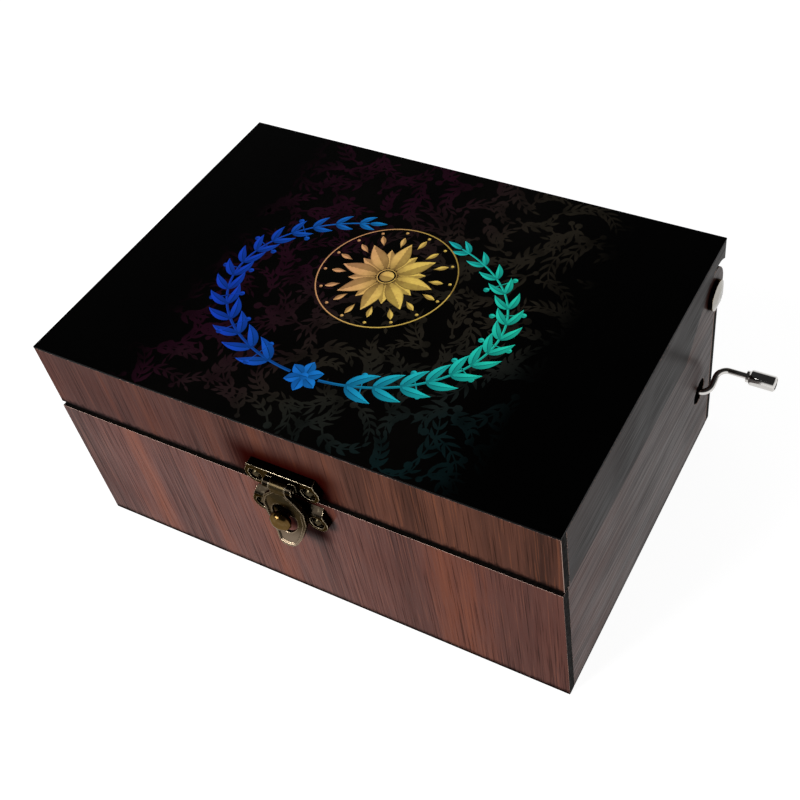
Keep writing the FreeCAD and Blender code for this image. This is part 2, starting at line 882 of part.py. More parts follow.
def clasp_tongue():
    """The sprung tongue: a dished leaf with a raised rim, a hole for the knob and a curled tip."""
    leaf = tongue_leaf(tongue_sections, 0, tongue_rim_height, tongue_thickness)
    leaf = leaf.cut(tongue_leaf(tongue_sections[1:-1], tongue_rim_width, 2 * tongue_rim_height, 0))
    hole = Part.Ellipse(vec(0, 0, 0), tongue_hole_half_height, tongue_hole_half_width).toShape()
    hole.rotate(vec(0, 0, 0), vec(0, 0, 1), 90)
    hole.rotate(vec(0, 0, 0), vec(1, 0, 0), 90)
    hole.translate(vec(0, front, clasp_knob_z - tongue_hole_drop))
    reach = clasp_pin_height + 4 * knuckle_radius
    leaf = leaf.cut(Part.Face(Part.Wire(hole)).extrude(vec(0, -reach, 0)))
    pin_start = vec(-knuckle_outer, clasp_axis_y, clasp_pin_z)
    pin_end = vec(knuckle_outer, clasp_axis_y, clasp_pin_z)
    inner = vec(-tongue_knuckle_half, clasp_axis_y, clasp_pin_z)
    outer = vec(tongue_knuckle_half, clasp_axis_y, clasp_pin_z)
    relief = bar(pin_start, pin_end, knuckle_radius + end_gap).cut(bar(inner, outer, 2 * knuckle_radius))
    leaf = leaf.cut(relief).fuse(bar(inner, outer, knuckle_radius))
    return leaf.cut(bar(pin_start, pin_end, clasp_pin_radius + bore_gap)).removeSplitter()


# Write every piece

right_wall, left_wall = both(base_side_panel())
right_rim, left_rim = both(lid_side_rim())
right_cheek, left_cheek = both(hinge_cheek())
right_pin, left_pin = both(hinge_pin())
upper_ear_z = clasp_pin_z - upper_ear_drop
lower_ear_z = clasp_knob_z - lower_ear_drop

save("base_front_panel", nail_holes(base_end_panel(-half_depth), front, lower_ear_spacing, lower_ear_z))
save("base_back_panel", base_end_panel(half_depth))
save("base_left_panel", left_wall)
save("base_right_panel", right_wall.cut(crank_hole()))
save("base_bottom_panel", base_floor())

save("lid_front_rim", nail_holes(lid_front_rim(), lid_front, upper_ear_spacing, upper_ear_z))
save("lid_back_rim", lid_back_rim())
save("lid_left_rim", left_rim)
save("lid_right_rim", right_rim)
save("lid_top_board", lid_board())
save("lid_print_sheet", lid_print_sheet())

save("hinge_cheek_left", left_cheek)
save("hinge_cheek_right", right_cheek)
save("hinge_pin_left", left_pin)
save("hinge_pin_right", right_pin)

save("crank_rod", crank_rod())
save("crank_collar", crank_collar())
save("crank_knob", crank_knob())
save("drive_worm", drive_worm())
save("worm_wheel", worm_wheel())
save("cylinder_sleeve", cylinder_sleeve())
save("cylinder_pins", cylinder_pins())
save("cylinder_arbor", cylinder_arbor())
save("steel_comb", steel_comb())
save("comb_screws", comb_screw_group())
save("movement_frame", movement_frame())
save("frame_screws", frame_screw_group())
save("movement_board", movement_board())

save("clasp_upper_plate", upper_plate())
save("clasp_hinge_pin", clasp_pin())
save("upper_plate_nails", nail_pair(lid_front, upper_ear_spacing, upper_ear_z))
save("clasp_tongue", clasp_tongue())
save("clasp_catch_plate", catch_plate())
save("clasp_knob", clasp_knob())
save("catch_plate_nails", nail_pair(front, lower_ear_spacing, lower_ear_z))
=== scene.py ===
import json
import math
import random
from types import SimpleNamespace

import bmesh
import bpy
from mathutils import Matrix, Vector


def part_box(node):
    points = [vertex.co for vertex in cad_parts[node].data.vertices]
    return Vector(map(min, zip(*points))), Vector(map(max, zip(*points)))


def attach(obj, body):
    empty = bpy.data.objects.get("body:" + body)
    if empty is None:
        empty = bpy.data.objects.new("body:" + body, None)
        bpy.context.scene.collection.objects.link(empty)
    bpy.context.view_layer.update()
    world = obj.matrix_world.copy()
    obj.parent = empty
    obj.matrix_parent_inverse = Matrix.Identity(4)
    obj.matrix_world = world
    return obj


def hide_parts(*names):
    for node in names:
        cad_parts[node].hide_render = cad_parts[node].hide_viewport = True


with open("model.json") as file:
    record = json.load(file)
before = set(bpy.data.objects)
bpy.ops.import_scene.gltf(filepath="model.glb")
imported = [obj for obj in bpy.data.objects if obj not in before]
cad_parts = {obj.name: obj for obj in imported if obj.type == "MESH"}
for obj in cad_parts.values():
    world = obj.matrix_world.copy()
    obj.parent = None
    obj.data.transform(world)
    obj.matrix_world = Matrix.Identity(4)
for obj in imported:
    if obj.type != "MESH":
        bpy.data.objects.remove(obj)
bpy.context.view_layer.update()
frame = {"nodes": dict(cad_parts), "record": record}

# Lengths are metres unless a comment says millimetres, colours are linear
MM = 0.001

# Camera, fitted to the corners of the box in the photograph
CAMERA_AZIMUTH = 33.156
CAMERA_ELEVATION = 48.033
CAMERA_DISTANCE = 0.359948
CAMERA_TARGET = Vector((0.024222, 0.007951, 0.033))
CAMERA_ROLL = -7.828
CAMERA_SHIFT = -0.1
FOCAL_PIXELS = 1163.55
FRAME_PIXELS = 800
SENSOR_WIDTH = 36.0
CLIP_START = 10 * MM


def make_camera():
    """A camera at the photograph's place, turned a little about its own axis as the photograph is."""
    data = bpy.data.cameras.new("camera")
    data.sensor_width = SENSOR_WIDTH
    data.lens = SENSOR_WIDTH * FOCAL_PIXELS / FRAME_PIXELS
    data.shift_x = CAMERA_SHIFT
    data.clip_start = CLIP_START
    camera = bpy.data.objects.new("camera", data)
    bpy.context.scene.collection.objects.link(camera)
    azimuth = math.radians(CAMERA_AZIMUTH)
    elevation = math.radians(CAMERA_ELEVATION)
    back = Vector((
        math.sin(azimuth) * math.cos(elevation),
        -math.cos(azimuth) * math.cos(elevation),
        math.sin(elevation),
    ))
    right = (-back).cross(Vector((0, 0, 1))).normalized()
    up = right.cross(-back)
    roll = math.radians(CAMERA_ROLL)
    across = math.cos(roll) * right + math.sin(roll) * up
    upward = math.cos(roll) * up - math.sin(roll) * right
    turn = Matrix((across, upward, back)).transposed().to_4x4()
    camera.matrix_world = Matrix.Translation(CAMERA_TARGET + back * CAMERA_DISTANCE) @ turn
    bpy.context.scene.camera = camera


# Node graphs

X, Y, Z = range(3)
MIX_FACTOR, MIX_FIRST, MIX_SECOND, MIX_RESULT = 0, 6, 7, 2
NOISE_LOW, NOISE_HIGH = 0.3, 0.7


class Graph:
    """A node graph of a material or of the world, built one call at a time."""

    def __init__(self, tree):
        self.tree = tree
        tree.nodes.clear()

    def add(self, kind, settings=None, inputs=None):
        """A new node of a kind, its settings by name and its inputs by name or number."""
        node = self.tree.nodes.new(kind)
        for name, value in (settings or {}).items():
            setattr(node, name, value)
        for name, value in (inputs or {}).items():
            self.put(node.inputs[name], value)
        return node

    def put(self, socket, value):
        """Links a socket or sets its own value."""
        if isinstance(value, bpy.types.NodeSocket):
            self.tree.links.new(value, socket)
        elif socket.type == "RGBA" and len(value) == 3:
            socket.default_value = (*value, 1)
        else:
            socket.default_value = value

    def place(self):
        """The point of the surface in the part's own frame, which moves with its body."""
        return self.add("ShaderNodeTexCoord").outputs["Object"]

    def axes(self, vector):
        """The three parts of a vector."""
        return self.add("ShaderNodeSeparateXYZ", inputs={0: vector}).outputs

    def stretch(self, vector, scale, offset=(0, 0, 0)):
        """The vector times a scale for each axis, plus an offset."""
        settings = {"operation": "MULTIPLY_ADD"}
        return self.add("ShaderNodeVectorMath", settings, {0: vector, 1: scale, 2: offset}).outputs[0]

    def maths(self, operation, *values):
        """One operation on values."""
        return self.add("ShaderNodeMath", {"operation": operation}, dict(enumerate(values))).outputs[0]

    def product(self, first, *others):
        """Values multiplied together."""
        for value in others:
            first = self.maths("MULTIPLY", first, value)
        return first

    def blend(self, values, shares):
        """The sum of values, each times its share."""
        first, *others = [self.maths("MULTIPLY", *pair) for pair in zip(values, shares)]
        for term in others:
            first = self.maths("ADD", first, term)
        return first

    def off(self, value, middle):
        """How far a value is from a middle one."""
        return self.maths("ABSOLUTE", self.maths("SUBTRACT", value, middle))

    def noise(self, vector, scale, detail=2.0, distortion=0.0):
        """Soft noise, a number of patches to the metre."""
        inputs = {"Vector": vector, "Scale": scale, "Detail": detail, "Distortion": distortion}
        return self.add("ShaderNodeTexNoise", inputs=inputs).outputs[0]

    def span(self, value, low, high, start=0.0, end=1.0):
        """A smooth step of a value from low to high, given as start to end."""
        settings = {"interpolation_type": "SMOOTHSTEP"}
        inputs = dict(enumerate((value, low, high, start, end)))
        return self.add("ShaderNodeMapRange", settings, inputs).outputs[0]

    def spread(self, noise, start, end):
        """A noise from its usual low to its usual high, given as start to end."""
        return self.span(noise, NOISE_LOW, NOISE_HIGH, start, end)

    def ramp(self, value, stops):
        """A colour for a value, from stops that are each a position and a colour."""
        node = self.add("ShaderNodeValToRGB", inputs={0: value})
        elements = node.color_ramp.elements
        for _ in stops[2:]:
            elements.new(1.0)
        for element, (position, colour) in zip(elements, stops):
            element.position = position
            element.color = (*colour, 1)
        return node.outputs[0]

    def mix(self, factor, first, second, kind="MIX"):
        """A blend of two colours."""
        settings = {"data_type": "RGBA", "blend_type": kind}
        inputs = {MIX_FACTOR: factor, MIX_FIRST: first, MIX_SECOND: second}
        return self.add("ShaderNodeMix", settings, inputs).outputs[MIX_RESULT]

    def bump(self, height, depth):
        """A normal for a height from 0 to 1 that stands for a depth in metres."""
        inputs = {"Height": height, "Distance": depth, "Strength": 1.0}
        return self.add("ShaderNodeBump", inputs=inputs).outputs[0]

    def openness(self, reach):
        """1 in the open, falling to 0 where other surfaces stand close round."""
        return self.add("ShaderNodeAmbientOcclusion", inputs={"Distance": reach}).outputs["AO"]


def surface(name, paint):
    """A material whose shader's inputs come from paint, a function of its graph."""
    material = bpy.data.materials.new(name)
    material.use_nodes = True
    graph = Graph(material.node_tree)
    shader = graph.add("ShaderNodeBsdfPrincipled", inputs=paint(graph))
    graph.add("ShaderNodeOutputMaterial", inputs={"Surface": shader.outputs[0]})
    return material


# Wood

# Each noise is a scale, a detail and, for some, a distortion
FIGURE = (60.0, 2.0, 0.6)
STREAKS = (330.0, 3.0, 0.3)
HAIRLINES = (1500.0, 2.0)
PORES = (2600.0, 2.0)
POLISH = (40.0, 2.0)
DARK_EDGE_NOISE = (700.0, 2.0)
TONE_SHARES = (0.72, 0.18, 0.1)

# The share of a noise's scale that is left along the grain
GRAIN_PULL = 0.045
PORE_PULL = 0.016

# Each span is a low, a high, and what is given for them
DARK_PORES = (0.57, 0.68, 0.0, 0.55)
PALE_PORES = (0.42, 0.33, 0.0, 0.3)
PORE_GLOSS = (0.35, 0.65, 1.3, 0.7)
CONTACT_SHADE = (0.35, 0.95, 0.12, 1.0)
DARK_EDGE_GLOSS = (0.0, 1.0, 1.0, 0.25)

PORE_COLOUR = (0.006, 0.002, 0.001)
CONTACT_SHADE_COLOUR = (0.004, 0.0005, 0.0002)
CLASP_SHADE_COLOUR = (0.018, 0.001, 0.0005)
DARK_EDGE_COLOUR = (0.002, 0.001, 0.001)
CONTACT_REACH = 4 * MM
DARK_EDGE_RISE = 5 * MM
SKIN_DEPTH = 1.5 * MM
WOOD_RELIEF = 0.04 * MM
LACQUER_RELIEF = 0.022 * MM


def pulled(axis, share):
    """A scale that draws a pattern out along one axis."""
    return [share if index == axis else 1.0 for index in (X, Y, Z)]


def behind(graph, place, node, reach):
    """1 behind a node on the outside of the front, falling to 0 at a distance from its outline: the mask of
    painted shade round the clasp.
    """
    low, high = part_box(node)
    axes = graph.axes(place)
    squares = []
    for axis in (X, Z):
        middle = (low[axis] + high[axis]) / 2
        half = (high[axis] - low[axis]) / 2
        past = graph.maths("MAXIMUM", graph.maths("SUBTRACT", graph.off(axes[axis], middle), half), 0.0)
        squares.append(graph.maths("MULTIPLY", past, past))
    distance = graph.maths("SQRT", graph.maths("ADD", *squares))
    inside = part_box("base_front_panel")[0][Y] + SKIN_DEPTH
    outside = graph.maths("LESS_THAN", axes[Y], inside)
    return graph.maths("MULTIPLY", graph.span(distance, 0.0, reach, 1.0, 0.0), outside)


def walnut(name, along, offset, tones, gloss, blur, painted_light, dark_edge_height=None, painted_shade=None):
    """Walnut skin under lacquer, its grain along one axis, with painted light and shade, and darker in a
    band above a bottom edge.
    """

    def paint(graph):
        place = graph.place()
        grain = graph.stretch(place, pulled(along, GRAIN_PULL), offset)
        figure = graph.noise(grain, *FIGURE)
        streaks = graph.noise(grain, *STREAKS)
        hairlines = graph.noise(grain, *HAIRLINES)
        pores = graph.noise(graph.stretch(place, pulled(along, PORE_PULL), offset), *PORES)
        colour = graph.ramp(graph.blend((figure, streaks, hairlines), TONE_SHARES), tones)
        colour = graph.mix(graph.span(pores, *DARK_PORES), colour, PORE_COLOUR)
        colour = graph.mix(graph.span(pores, *PALE_PORES), colour, tones[-1][1])
        # Painted light and shade: the skin lighter or darker along an axis, its coat changed with it
        light_mask = graph.span(graph.axes(place)[painted_light.axis], painted_light.start, painted_light.end)
        colour = graph.mix(light_mask, colour, painted_light.tint, "MULTIPLY")
        # Painted shade where other surfaces stand close round: the colour darkened and the coat thinned
        shade = graph.span(graph.openness(CONTACT_REACH), *CONTACT_SHADE)
        colour = graph.mix(shade, CONTACT_SHADE_COLOUR, colour)
        coat = [
            graph.spread(graph.noise(place, *POLISH), 0.88 * gloss, 1.12 * gloss),
            graph.span(pores, *PORE_GLOSS),
            shade,
            graph.maths("MULTIPLY_ADD", light_mask, painted_light.gloss - 1.0, 1.0),
        ]
        # Painted shade round the clasp, on the colour and the coat
        if painted_shade is not None:
            shaded = graph.maths("MULTIPLY", behind(graph, place, painted_shade.node, painted_shade.reach), painted_shade.amount)
            colour = graph.mix(shaded, colour, CLASP_SHADE_COLOUR)
            coat.append(graph.maths("SUBTRACT", 1.0, shaded))
        # A band darker in colour and coat above a bottom edge; on the lid's front rim it is painted shade
        # over the seam
        if dark_edge_height is not None:
            top = graph.maths("MULTIPLY_ADD", graph.noise(place, *DARK_EDGE_NOISE), DARK_EDGE_RISE, dark_edge_height)
            dark_edge = graph.span(graph.axes(place)[Z], dark_edge_height, top, 1.0, 0.0)
            colour = graph.mix(dark_edge, colour, DARK_EDGE_COLOUR)
            coat.append(graph.span(dark_edge, *DARK_EDGE_GLOSS))
        relief = graph.blend((hairlines, pores), (0.5, 0.5))
        return {
            "Base Color": colour,
            "Roughness": graph.spread(streaks, 0.35, 0.5),
            "Specular IOR Level": 0.0,
            "Coat Weight": graph.product(*coat),
            "Coat Roughness": blur,
            "Coat IOR": 1.5,
            "Normal": graph.bump(relief, WOOD_RELIEF),
            "Coat Normal": graph.bump(relief, LACQUER_RELIEF),
        }

    return surface(name, paint)


def burnt_edge():
    """The edge of a board, charred by the laser that cut it."""

    def paint(graph):
        char = graph.noise(graph.place(), 900.0, 3.0)
        return {
            "Base Color": graph.ramp(char, [(0.35, (0.0008, 0.0007, 0.0006)), (0.8, (0.006, 0.004, 0.003))]),
            "Roughness": graph.spread(char, 0.6, 0.8),
            "Specular IOR Level": 0.03,
            "Normal": graph.bump(char, 0.03 * MM),
        }

    return surface("burnt_edge", paint)


def pale_arris(name, low, high, fibre):
    """A fine pale line along an arris, whole or in specks."""

    def paint(graph):
        chips = graph.noise(graph.place(), 1100.0, 3.0)
        return {
            "Base Color": graph.mix(graph.span(chips, low, high), (0.006, 0.003, 0.002), fibre),
            "Roughness": graph.spread(chips, 0.4, 0.6),
            "Specular IOR Level": 0.2,
        }

    return surface(name, paint)


def plain_board():
    """Bare fibreboard."""

    def paint(graph):
        place = graph.place()
        fibre = graph.noise(graph.stretch(place, pulled(Y, 0.35)), 1400.0, 5.0)
        cloud = graph.noise(place, 40.0, 3.0)
        stops = [(0.3, (0.13, 0.062, 0.028)), (0.55, (0.26, 0.14, 0.065)), (0.75, (0.38, 0.23, 0.12))]
        return {
            "Base Color": graph.ramp(graph.blend((fibre, cloud), (0.7, 0.3)), stops),
            "Roughness": graph.spread(fibre, 0.7, 0.9),
            "Specular IOR Level": 0.2,
            "Normal": graph.bump(fibre, 0.04 * MM),
        }

    return surface("plain_board", paint)


# Metal

TARNISH = (0.62, 0.56, 0.5)
WEAR_RADIUS = 0.18 * MM
HOLLOW_REACH = 1.5 * MM
METAL_RELIEF = 0.002 * MM


def worn_metal(name, deep, base, bright, roughness, wear_radius=WEAR_RADIUS, mottle=0.03):
    """Plating that is darker in its hollows and worn bright along its edges."""

    def paint(graph):
        cloud = graph.noise(graph.place(), 900.0, 4.0)
        rounded = graph.add("ShaderNodeBevel", inputs={"Radius": wear_radius}).outputs[0]
        flat = graph.add("ShaderNodeNewGeometry").outputs["Normal"]
        dot = graph.add("ShaderNodeVectorMath", {"operation": "DOT_PRODUCT"}, {0: rounded, 1: flat})
        edge = graph.span(dot.outputs["Value"], 0.995, 0.9)
        open_part = graph.span(graph.openness(HOLLOW_REACH), 0.35, 0.95)
        wear = graph.product(edge, open_part, graph.span(cloud, 0.25, 0.55))
        colour = graph.mix(open_part, deep, base(graph) if callable(base) else base)
        colour = graph.mix(graph.span(cloud, 0.5, 0.75, 0.0, mottle), colour, bright)
        return {
            "Base Color": graph.mix(wear, colour, bright),
            "Metallic": 1.0,
            "Specular Tint": TARNISH,
            "Roughness": graph.spread(cloud, 0.8 * roughness, 1.3 * roughness),
            "Normal": rounded,
        }

    return surface(name, paint)


def bright_metal(name, colour, roughness, brushed=(1, 1, 1)):
    """Polished or turned metal with fine marks."""

    def paint(graph):
        marks = graph.noise(graph.stretch(graph.place(), brushed), 4000.0, 2.0)
        dull = tuple(0.75 * c for c in colour)
        return {
            "Base Color": graph.mix(marks, colour, dull),
            "Metallic": 1.0,
            "Roughness": graph.spread(marks, 0.7 * roughness, 1.3 * roughness),
            "Normal": graph.bump(marks, METAL_RELIEF),
        }

    return surface(name, paint)


def tongue_colour(graph):
    """The clasp tongue's bronze, paler towards its curled tip."""
    height = graph.axes(graph.place())[Z]
    return graph.mix(graph.span(height, 44 * MM, 37 * MM), (0.022, 0.016, 0.008), (0.16, 0.12, 0.085))


# Print

BLACK = (0.0003, 0.0003, 0.0003)
HAZE = (0.0022, 0.0019, 0.0016)
PLUM = (0.0115, 0.0022, 0.0062)
OLIVE = (0.0135, 0.0112, 0.0078)
TEAL = (0.0025, 0.0085, 0.0092)
GARLAND_TONES = [
    (0.0, (0.006, 0.04, 0.4)),
    (0.35, (0.008, 0.16, 0.5)),
    (0.6, (0.01, 0.32, 0.46)),
    (1.0, (0.015, 0.56, 0.38)),
]
GARLAND_DEEP = (0.001, 0.012, 0.03)
PEACH = (0.6, 0.3, 0.14)
GOLD = (0.68, 0.48, 0.1)
OLD_GOLD = (0.4, 0.22, 0.06)
GOLD_DEEP = (0.05, 0.02, 0.008)
FILM_RELIEF = 0.002 * MM

# The map on an inked shape: how far along its strip a point is, and how far across
STRIP = "strip"


def film(name, colour_of):
    """Printed film with hardly any gloss, its colour a function of the graph."""

    def paint(graph):
        grain = graph.noise(graph.place(), 2500.0, 2.0)
        return {
            "Base Color": colour_of(graph),
            "Roughness": graph.spread(grain, 0.32, 0.4),
            "Specular IOR Level": 0.015,
            "Normal": graph.bump(grain, FILM_RELIEF),
        }

    return surface(name, paint)


def ground_colour(graph):
    """Near black, with a trace of the foliage's haze over the middle of the lid."""
    place = graph.place()
    x = graph.axes(place)[X]
    middle = graph.span(graph.maths("ABSOLUTE", x), 25 * MM, 60 * MM, 1.0, 0.0)
    return graph.mix(graph.maths("MULTIPLY", middle, graph.noise(place, 60.0, 2.0)), BLACK, HAZE)


def foliage_colour(graph):
    """Faint plum at the back left, olive over the middle, teal at the front right, then black."""
    place = graph.place()
    x, y, _ = graph.axes(place)
    wander = graph.maths("MULTIPLY_ADD", graph.noise(place, 45.0, 2.0), 40 * MM, -20 * MM)
    across = graph.maths("ADD", graph.maths("MULTIPLY_ADD", y, -0.35, x), wander)
    colour = graph.mix(graph.span(across, -30 * MM, 18 * MM), PLUM, OLIVE)
    front_right = graph.maths("ADD", graph.maths("MULTIPLY_ADD", y, -1.0, x), wander)
    colour = graph.mix(graph.span(front_right, 25 * MM, 90 * MM), colour, TEAL)
    shown = graph.span(graph.maths("ABSOLUTE", x), 40 * MM, 58 * MM, 1.0, 0.0)
    patches = graph.span(graph.noise(place, 120.0, 2.0), 0.3, 0.65, 0.5, 1.15)
    return graph.mix(graph.maths("MULTIPLY", shown, patches), BLACK, colour)


def strip_place(graph):
    """How far along and across its strip a point of an inked shape is."""
    along, over, _ = graph.axes(graph.add("ShaderNodeUVMap", {"uv_map": STRIP}).outputs[0])
    return along, over


def garland_colour(graph):
    """Blue at the left through cyan to turquoise at the right, each leaf folded and veined."""
    x, y, _ = graph.axes(graph.place())
    along, over = strip_place(graph)
    across = graph.span(graph.maths("MULTIPLY_ADD", y, 0.35, x), -50 * MM, 50 * MM)
    fold = graph.span(over, 0.47, 0.53, 1.0, 0.62)
    age = graph.span(along, 0.0, 0.7, 0.6, 1.0)
    vein = graph.span(graph.off(over, 0.5), 0.02, 0.07, 0.35, 1.0)
    return graph.mix(graph.product(fold, age, vein), GARLAND_DEEP, graph.ramp(across, GARLAND_TONES))


def gold_colour(graph):
    """Gold leaf that turns to peach at the left, each petal folded along its middle."""
    place = graph.place()
    along, over = strip_place(graph)
    colour = graph.mix(graph.span(graph.axes(place)[X], -16 * MM, 6 * MM), PEACH, GOLD)
    worn = graph.span(graph.noise(place, 700.0, 4.0), 0.4, 0.7, 0.0, 0.35)
    colour = graph.mix(worn, colour, OLD_GOLD)
    fold = graph.span(over, 0.46, 0.54, 1.0, 0.5)
    rim = graph.span(graph.off(over, 0.5), 0.38, 0.5, 1.0, 0.6)
    depth = graph.span(along, 0.0, 0.45, 0.45, 1.0)
    return graph.mix(graph.product(fold, rim, depth), GOLD_DEEP, colour)


# Printed ornament, drawn in millimetres on the plane of the lid

INK_DEPTH = 0.04
INK_LEVELS = 40
INK_WELD = 1e-7
FINE_STEPS = 10
FAINT_STEPS = 4

# The depths, in shares of the ink's, between which the shapes of an ink have their tops
FOLIAGE_LAYER = (0.9, 0.5)
GARLAND_LAYER = (0.4, 0.2)
ROSETTE_LAYER = (0.2, 0.0)

FOLIAGE_REACH = 60.0
FOLIAGE_MARGIN = 0.3
FOLIAGE_PITCH = 9.0
FOLIAGE_SEED = 7
SPRIG_POINTS = 10
SPRIG_OFF_GRID = (-0.3, 0.3)
SPRIG_TURN = (0.8, 2.6)
SPRIG_LENGTH = (11.0, 17.0)
SPRIG_LEAF_LENGTH = (4.0, 6.5)
SPRIG_LEAF_WIDTH = (1.2, 1.9)
SPRIG_BERRY = (0.8, 1.4)

GARLAND_CENTRE = (-3.0, -3.0)
GARLAND_SIZE = (43.0, 32.0)
GARLAND_GAP = 6
GARLAND_SWEEP = 152
GARLAND_POINTS = 72
BERRY_POINTS = range(8, 68, 10)
BERRY_OUT = 4.4

ROSETTE_CENTRE = (-2.0, 8.0)
ROSETTE_DROPS = 16
DROP_ROOTS = (12.6, 13.6)
BEAD_OUT = 19.3


def bend(x, y, heading, length, turn, steps):
    """A path of points and headings that turns evenly over its length."""
    path = []
    for step in range(steps + 1):
        angle = heading + turn * step / steps
        path.append((x, y, angle))
        x += length / steps * math.cos(angle)
        y += length / steps * math.sin(angle)
    return path


def oval(centre, size, start, sweep, steps):
    """A path along an ellipse."""
    path = []
    side = math.copysign(1, sweep)
    for step in range(steps + 1):
        angle = start + sweep * step / steps
        x = centre[0] + size[0] * math.cos(angle)
        y = centre[1] + size[1] * math.sin(angle)
        heading = math.atan2(side * size[1] * math.cos(angle), -side * size[0] * math.sin(angle))
        path.append((x, y, heading))
    return path


def out_from(centre, distance, heading):
    """The point at a distance from a centre."""
    return centre[0] + distance * math.cos(heading), centre[1] + distance * math.sin(heading)


class Ink:
    """Thin closed shapes printed on the lid, each at its own height so that no two coincide."""

    def __init__(self, surface_height, layer, steps):
        self.low, self.high = (surface_height - share * INK_DEPTH for share in layer)
        self.steps = steps
        self.count = 0
        self.work = bmesh.new()
        self.uv = self.work.loops.layers.uv.new(STRIP)

    def strip(self, path, half_width, closed=False):
        """A shape along a path. The half width is a function of how far along it is, 0 to 1."""
        self.count += 1
        top = self.low + (self.high - self.low) * (self.count % INK_LEVELS + 1) / INK_LEVELS
        foot = self.low - INK_DEPTH
        last = len(path) - 1
        rings = []
        for index, (x, y, heading) in enumerate(path):
            half = half_width(index / last)
            left = (x - half * math.sin(heading), y + half * math.cos(heading))
            right = (x + half * math.sin(heading), y - half * math.cos(heading))
            corners = ((left, top), (right, top), (right, foot), (left, foot))
            rings.append([self.work.verts.new((a * MM, b * MM, z * MM)) for (a, b), z in corners])
        sides = ((0.0, 1.0), (1.0, 1.0), (1.0, 0.0), (0.0, 0.0))
        for index, (ring, after) in enumerate(zip(rings, rings[1:])):
            start, end = index / last, (index + 1) / last
            for n, (over, under) in enumerate(sides):
                m = (n + 1) % len(sides)
                quad = self.work.faces.new((ring[n], ring[m], after[m], after[n]))
                places = ((start, over), (start, under), (end, under), (end, over))
                for loop, place in zip(quad.loops, places):
                    loop[self.uv].uv = place
        if not closed:
            self.work.faces.new(rings[0])
            self.work.faces.new(list(reversed(rings[-1])))

    def leaf(self, x, y, heading, length, width, turn=0.0, fullness=0.75):
        """A leaf or petal, pointed at both ends."""
        path = bend(x, y, heading, length, turn, self.steps)
        self.strip(path, lambda t: width / 2 * math.sin(math.pi * min(t ** fullness, 1.0)))

    def stem(self, path, thick, thin):
        """A stem along a path, thinner towards its end."""
        self.strip(path, lambda t: (thick + (thin - thick) * t) / 2)

    def dot(self, x, y, radius):
        """A round dot, as a strip across its diameter."""
        turns = [math.pi * n / self.steps for n in range(self.steps + 1)]
        path = [(x - radius * math.cos(turn), y, 0.0) for turn in turns]
        self.strip(path, lambda t: radius * math.sin(math.pi * t))

    def ring(self, centre, radius, width):
        """A closed ring."""
        path = oval(centre, (radius, radius), 0.0, 2 * math.pi, 6 * self.steps)
        self.strip(path, lambda t: width / 2, True)

    def branch(self, path, every, leaf_length, leaf_width, spread, stem_width, tip_scale=0.6):
        """A stem along a path with a pair of leaves every few points and one at its tip."""
        self.stem(path, stem_width, stem_width * tip_scale)
        for index in range(every, len(path) - 1, every):
            x, y, heading = path[index]
            size = 1 + (tip_scale - 1) * index / len(path)
            for side in (-1, 1):
                turn = side * spread
                self.leaf(x, y, heading + turn, leaf_length * size, leaf_width * size, -0.7 * turn)
        x, y, heading = path[-1]
        self.leaf(x, y, heading, leaf_length * tip_scale, leaf_width * tip_scale)

    def petals(self, centre, count, first, root, length, width, fullness):
        """A ring of petals whose roots stand out from a centre, the first at an angle in degrees."""
        for n in range(count):
            heading = math.radians(360 / count * n + first)
            self.leaf(*out_from(centre, root, heading), heading, length, width, fullness=fullness)

    def trim(self, edge, out):
        """Cuts off what lies beyond a line across the lid, on its near or far side, and closes the cut."""
        work = self.work
        everything = work.verts[:] + work.edges[:] + work.faces[:]
        line = (0, edge * MM, 0)
        cut = bmesh.ops.bisect_plane(
            work,
            geom=everything,
            plane_co=line,
            plane_no=(0, out, 0),
            clear_outer=True,
        )["geom_cut"]
        bmesh.ops.holes_fill(work, edges=[e for e in cut if isinstance(e, bmesh.types.BMEdge)])

    def piece(self, name, material):
        """The finished object, riding on the lid."""
        bmesh.ops.remove_doubles(self.work, verts=self.work.verts, dist=INK_WELD)
        bmesh.ops.recalc_face_normals(self.work, faces=self.work.faces)
        mesh = bpy.data.meshes.new(name)
        self.work.to_mesh(mesh)
        self.work.free()
        mesh.materials.append(material)
        piece = bpy.data.objects.new(name, mesh)
        bpy.context.scene.collection.objects.link(piece)
        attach(piece, "lid")


def foliage(ink, left, right, front, back):
    """Sprigs strewn over the ground, one to a square of a loose grid."""
    chance = random.Random(FOLIAGE_SEED)
    columns = round((right - left) / FOLIAGE_PITCH)
    rows = round((back - front) / FOLIAGE_PITCH)
    for row in range(rows):
        for column in range(columns):
            x = left + (column + 0.5 + chance.uniform(*SPRIG_OFF_GRID)) * (right - left) / columns
            y = front + (row + 0.5 + chance.uniform(*SPRIG_OFF_GRID)) * (back - front) / rows
            heading = chance.uniform(0.0, 2 * math.pi)
            turn = chance.choice((-1, 1)) * chance.uniform(*SPRIG_TURN)
            length = chance.uniform(*SPRIG_LENGTH)
            start = out_from((x, y), -0.5 * length, heading + turn / 2)
            path = bend(*start, heading, length, turn, SPRIG_POINTS)
            leaf_length = chance.uniform(*SPRIG_LEAF_LENGTH)
            leaf_width = chance.uniform(*SPRIG_LEAF_WIDTH)
            ink.branch(path, 2, leaf_length, leaf_width, spread=0.7, stem_width=0.6)
            ink.dot(*start, chance.uniform(*SPRIG_BERRY))
    for edge, out in ((front, -1), (back, 1)):
        ink.trim(edge, out)


